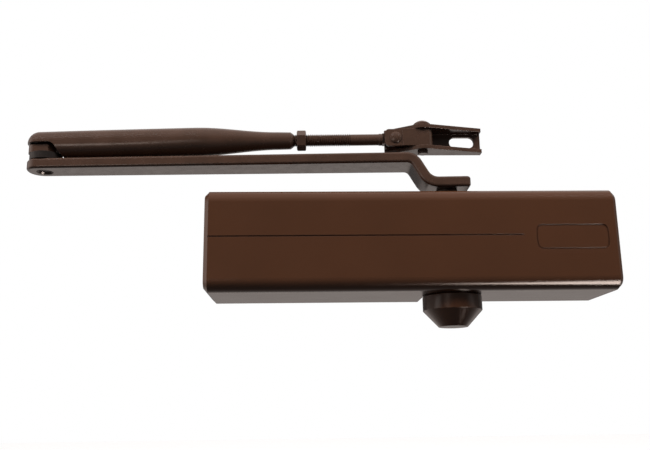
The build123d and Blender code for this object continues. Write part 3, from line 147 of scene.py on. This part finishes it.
def blended(tree, factor, first, second):
    """Two colours, mixed by a factor."""
    made = tree.nodes.new("ShaderNodeMix")
    made.data_type = "RGBA"
    tree.links.new(factor, made.inputs[0])
    for socket, value in ((made.inputs[6], first), (made.inputs[7], second)):
        if isinstance(value, bpy.types.NodeSocket):
            tree.links.new(value, socket)
        else:
            socket.default_value = value
    return made.outputs[2]


def finish(name, dark, light, rough, patch, grain, grain_depth, edge=None, edge_radius=0.0005, metal=0.0,
           stretch=(1, 1, 1)):
    """A procedural finish: patchy colour and gloss, a fine grain, rounded edges, and lighter edges that
    are partly paint wear and partly a painted highlight.
    """
    made = bpy.data.materials.new(name)
    made.use_nodes = True
    tree = made.node_tree
    tree.nodes.clear()
    place = add(tree, "ShaderNodeTexCoord").outputs["Object"]
    drawn = add(tree, "ShaderNodeMapping", Vector=place, Scale=stretch).outputs["Vector"]
    cloud = noise(tree, place, patch, 4.0, 0.55)
    fine = noise(tree, drawn, grain, 2.0, 0.5)
    colour = blended(tree, between(tree, cloud, *PATCH_LEVELS, 0.0, 1.0), dark, light)
    gloss = between(tree, noise(tree, place, patch * GLOSS_PATCHES, 3.0, 0.6), *PATCH_LEVELS, *rough)
    rounded = add(tree, "ShaderNodeBevel", samples=BEVEL_SAMPLES, Radius=edge_radius).outputs["Normal"]
    # Rounded edges are lightened towards that brown, broken up by noise: partly paint wear, partly a
    # painted highlight
    if edge:
        flat = add(tree, "ShaderNodeNewGeometry").outputs["Normal"]
        turn = add(tree, "ShaderNodeVectorMath", operation="DOT_PRODUCT")
        tree.links.new(rounded, turn.inputs[0])
        tree.links.new(flat, turn.inputs[1])
        wear_and_highlight = between(tree, turn.outputs["Value"], *WEAR_AND_HIGHLIGHT_EDGE, 0.0, WEAR_AND_HIGHLIGHT_MOST)
        broken = between(tree, noise(tree, place, WEAR_AND_HIGHLIGHT_GRAIN, 2.0, 0.6), *WEAR_AND_HIGHLIGHT_LEVELS, WEAR_AND_HIGHLIGHT_LEAST, 1.0)
        both = add(tree, "ShaderNodeMath", operation="MULTIPLY")
        tree.links.new(wear_and_highlight, both.inputs[0])
        tree.links.new(broken, both.inputs[1])
        colour = blended(tree, both.outputs["Value"], colour, edge)
    bump = add(tree, "ShaderNodeBump", Strength=1.0, Distance=grain_depth, Height=fine, Normal=rounded)
    shader = tree.nodes.new("ShaderNodeBsdfPrincipled")
    tree.links.new(colour, shader.inputs["Base Color"])
    tree.links.new(gloss, shader.inputs["Roughness"])
    tree.links.new(bump.outputs["Normal"], shader.inputs["Normal"])
    shader.inputs["Metallic"].default_value = metal
    out = tree.nodes.new("ShaderNodeOutputMaterial")
    tree.links.new(shader.outputs["BSDF"], out.inputs["Surface"])
    return made


def paint(material, *names):
    """Gives CAD nodes their finish."""
    for name in names:
        mesh = nodes[name].data
        if not mesh.materials:
            mesh.materials.append(material)
        for index in range(len(mesh.materials)):
            mesh.materials[index] = material


plastic = finish("moulded_brown", COVER_BROWN, COVER_BROWN_WARM, (0.20, 0.25), patch=14.0,
                 grain=2600.0, grain_depth=0.000004, edge_radius=0.0004)
enamel = finish("enamel_brown", ARM_BROWN, ARM_BROWN_WARM, (0.20, 0.30), patch=60.0,
                grain=700.0, grain_depth=0.000012, edge=WEAR_AND_HIGHLIGHT_BROWN, edge_radius=0.0006)
thread = finish("cut_thread", ARM_BROWN, ARM_BROWN_WARM, (0.20, 0.30), patch=60.0,
                grain=700.0, grain_depth=0.000006, edge_radius=0.0001)
casting = finish("cast_body", CASTING_DARK, CASTING_LIGHT, (0.5, 0.65), patch=30.0,
                 grain=900.0, grain_depth=0.00008, metal=0.9)
steel = finish("machined_steel", STEEL_DARK, STEEL_LIGHT, (0.25, 0.38), patch=80.0,
               grain=1600.0, grain_depth=0.00001, metal=1.0, stretch=(1, 1, 6))
oiled_and_painted_shade = finish("oiled_steel_and_painted_shade", OILED_AND_PAINTED_SHADE_DARK, OILED_AND_PAINTED_SHADE_LIGHT, (0.3, 0.42), patch=120.0,
               grain=1800.0, grain_depth=0.00001, metal=0.3)
blackened = finish("blackened_steel", BLACKENED_DARK, BLACKENED_LIGHT, (0.4, 0.55), patch=120.0,
                   grain=1800.0, grain_depth=0.00001)
spring_steel = finish("spring_wire", SPRING_DARK, SPRING_LIGHT, (0.3, 0.45), patch=120.0,
                      grain=1800.0, grain_depth=0.00001, metal=0.9)
brass = finish("brass", BRASS_DARK, BRASS_LIGHT, (0.25, 0.4), patch=200.0, grain=2500.0,
               grain_depth=0.00001, metal=1.0)
rubber = finish("rubber", RUBBER_DARK, RUBBER_LIGHT, (0.55, 0.7), patch=200.0, grain=2500.0,
                grain_depth=0.00001)

paint(plastic, "cover", "pinion_cap")
paint(enamel, "main_arm", "forearm_tube", "elbow_lug", "jam_nut", "knuckle_block", "tilt_pin", "shoe",
      "swivel_pin")
paint(thread, "adjusting_rod")
paint(casting, "closer_body")
paint(steel, "valve_end_plug", "spring_end_plug", "upper_bearing_cup", "lower_bearing_cup",
      "upper_needles", "lower_needles", "upper_bearing_nut", "lower_bearing_nut",
      "spring_adjusting_screw", "spring_plate", "rack_piston", "check_ball")
# The spindle's dark colour is partly its oiled finish and partly painted shade for the gap under the arm's
# flat end
paint(oiled_and_painted_shade, "cover_screws", "arm_screw", "pinion_spindle")
paint(blackened, "elbow_washer", "elbow_rivet")
paint(spring_steel, "main_spring", "inner_spring")
paint(brass, "check_retainer", "sweep_valve", "latch_valve", "backcheck_valve")
paint(rubber, "plug_o_rings", "screw_o_ring", "valve_o_rings", "spindle_seals")


# The springs are pressed at one end by the spring plate and at the other by the piston. So each is
# cut in two where both ends press its length equally, and the cut is closed on both lengths.
PLATE_TRAVEL = 0.008
PISTON_TRAVEL = 0.0316
SAME_PLACE = 0.0000001
SPRING_SHARP_EDGE = 0.6


def spring_length(name, source, cut_x, end_x):
    """The length of a spring between the cut and one end, with the cut closed."""
    made = bpy.data.objects.new(name, nodes[source].data.copy())
    bpy.context.scene.collection.objects.link(made)
    keep_above = end_x > cut_x
    form = bmesh.new()
    form.from_mesh(made.data)
    bmesh.ops.remove_doubles(form, verts=form.verts, dist=SAME_PLACE)
    cut = bmesh.ops.bisect_plane(form, geom=form.verts[:] + form.edges[:] + form.faces[:],
                                 plane_co=(cut_x, 0, 0), plane_no=(1, 0, 0), dist=SAME_PLACE,
                                 clear_inner=keep_above, clear_outer=not keep_above)
    rim = [part for part in cut["geom_cut"] if isinstance(part, bmesh.types.BMEdge)]
    bmesh.ops.triangle_fill(form, edges=rim, use_beauty=True)
    bmesh.ops.recalc_face_normals(form, faces=form.faces)
    form.to_mesh(made.data)
    form.free()
    made.data.set_sharp_from_angle(angle=SPRING_SHARP_EDGE)
    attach(made, "housing")
    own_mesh(made)
    return made


for spring in ("main_spring", "inner_spring"):
    (low_x, _, _), (high_x, _, _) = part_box(spring)
    cut_at = low_x + (high_x - low_x) * PLATE_TRAVEL / (PLATE_TRAVEL + PISTON_TRAVEL)
    spring_length(spring + "_plate_end", spring, cut_at, low_x)
    piston_end = spring_length(spring + "_piston_end", spring, cut_at, high_x)
    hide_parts(spring)


# Camera
back = Vector(CAMERA_RIGHT).cross(Vector(CAMERA_UP))
camera_data = bpy.data.cameras.new("camera")
camera_data.lens = CAMERA_LENS
camera_data.sensor_fit = "HORIZONTAL"
camera_data.sensor_width = 36.0
camera = bpy.data.objects.new("camera", camera_data)
turn = Matrix((Vector(CAMERA_RIGHT), Vector(CAMERA_UP), back)).transposed()
camera.matrix_world = Matrix.Translation(CAMERA_AT) @ turn.to_4x4()
bpy.context.scene.collection.objects.link(camera)
bpy.context.scene.camera = camera


# Floor, world and lamps
def card(name, at, size):
    """A flat square of the studio, which isn't part of the object."""
    mesh = bpy.data.meshes.new(name)
    half = size / 2
    mesh.from_pydata([(-half, -half, 0), (half, -half, 0), (half, half, 0), (-half, half, 0)], [],
                     [(0, 1, 2, 3)])
    made = bpy.data.objects.new(name, mesh)
    made.location = at
    bpy.context.scene.collection.objects.link(made)
    return made


floor = card("floor", (0, 0, FLOOR_Z), FLOOR_SIZE)
floor.visible_diffuse = False
floor.visible_glossy = False
floor_look = bpy.data.materials.new("floor_look")
floor_look.use_nodes = True
tree = floor_look.node_tree
tree.nodes.clear()
matt = add(tree, "ShaderNodeBsdfDiffuse", Color=FLOOR_GREY)
glow = add(tree, "ShaderNodeEmission", Color=(1, 1, 1, 1), Strength=FLOOR_GLOW)
lit = tree.nodes.new("ShaderNodeAddShader")
tree.links.new(matt.outputs[0], lit.inputs[0])
tree.links.new(glow.outputs[0], lit.inputs[1])
out = tree.nodes.new("ShaderNodeOutputMaterial")
tree.links.new(lit.outputs[0], out.inputs["Surface"])
floor.data.materials.append(floor_look)


def maths(tree, operation, first, second=0.0):
    """Two values, or a value and a number, put together."""
    made = add(tree, "ShaderNodeMath", operation=operation)
    for socket, value in zip(made.inputs, (first, second)):
        if isinstance(value, bpy.types.NodeSocket):
            tree.links.new(value, socket)
        else:
            socket.default_value = value
    return made.outputs[0]


# The studio round the object: bright and warm behind it and at its left, less so at its right, plain
# above, and nearly dark in front. The camera itself sees white.
world = bpy.data.worlds.new("studio")
bpy.context.scene.world = world
world.use_nodes = True
tree = world.node_tree
tree.nodes.clear()
direction = add(tree, "ShaderNodeTexCoord").outputs["Generated"]
split = add(tree, "ShaderNodeSeparateXYZ", Vector=direction)
across, into, up = split.outputs
level = maths(tree, "MULTIPLY_ADD", up, 0.5)
level.node.inputs[2].default_value = 0.5
ramp = tree.nodes.new("ShaderNodeValToRGB")
tree.links.new(level, ramp.inputs["Fac"])
stops = ramp.color_ramp.elements
while len(stops) < len(BEHIND_BY_HEIGHT):
    stops.new(0.5)
for stop, (height, strength) in zip(stops, BEHIND_BY_HEIGHT):
    stop.position = (height + 1) / 2
    stop.color = (strength, strength, strength, 1)
behind = maths(tree, "MULTIPLY", between(tree, into, 0.0, 0.6, 0.0, 1.0), ramp.outputs["Color"])
left = between(tree, across, -0.75, -0.95, 0.0, LEFT_LIGHT)
right = maths(tree, "MULTIPLY", between(tree, across, 0.75, 0.95, 0.0, RIGHT_LIGHT),
              between(tree, into, 0.0, 0.3, 1.0, 0.0))
sides = maths(tree, "MULTIPLY", maths(tree, "ADD", left, right), between(tree, up, -0.3, -0.05, 0.0, 1.0))
above = between(tree, up, 0.35, 0.85, 0.0, TOP_LIGHT)
plain_strength = maths(tree, "ADD", above, BASE_LIGHT)
plain_light = add(tree, "ShaderNodeBackground", Color=(1, 1, 1, 1), Strength=plain_strength)
warm_strength = maths(tree, "ADD", behind, sides)
warm_light = add(tree, "ShaderNodeBackground", Color=WARM_SKY, Strength=warm_strength)
soft = tree.nodes.new("ShaderNodeAddShader")
tree.links.new(plain_light.outputs[0], soft.inputs[0])
tree.links.new(warm_light.outputs[0], soft.inputs[1])
white = add(tree, "ShaderNodeBackground", Color=(1, 1, 1, 1), Strength=1.0)
choice = tree.nodes.new("ShaderNodeMixShader")
tree.links.new(add(tree, "ShaderNodeLightPath").outputs["Is Camera Ray"], choice.inputs[0])
tree.links.new(soft.outputs[0], choice.inputs[1])
tree.links.new(white.outputs[0], choice.inputs[2])
out = tree.nodes.new("ShaderNodeOutputWorld")
tree.links.new(choice.outputs[0], out.inputs["Surface"])


def lamp(name, azimuth, elevation, distance, size, power, colour, shown):
    """A soft box that points at the object, with its azimuth counted from the front to the right. It is
    either shown in glossy surfaces or lights matt ones."""
    data = bpy.data.lights.new(name, "AREA")
    data.shape = "RECTANGLE"
    data.size, data.size_y = size
    data.energy = power
    data.color = colour
    made = bpy.data.objects.new(name, data)
    turn = math.radians(azimuth)
    rise = math.radians(elevation)
    away = Vector((math.sin(turn) * math.cos(rise), -math.cos(turn) * math.cos(rise), math.sin(rise)))
    made.location = Vector(LAMP_TARGET) + away * distance
    made.rotation_euler = away.to_track_quat("Z", "Y").to_euler()
    made.visible_camera = False
    made.visible_diffuse = not shown
    made.visible_glossy = shown
    bpy.context.scene.collection.objects.link(made)


lamp("key_left", -KEY_AZIMUTH, KEY_ELEVATION, KEY_DISTANCE, KEY_SIZE, KEY_POWER, WHITE_LAMP, False)
lamp("key_right", KEY_AZIMUTH, KEY_ELEVATION, KEY_DISTANCE, KEY_SIZE, KEY_POWER, WHITE_LAMP, False)
lamp("streak", -26, -5, 2.0, (0.62, 0.36), 2.8, WARM_LAMP, True)
lamp("low_strip", 50, -45.5, 2.0, (0.9, 0.95), 54.0, WARM_LAMP, True)

bpy.context.scene.view_settings.view_transform = "Standard"
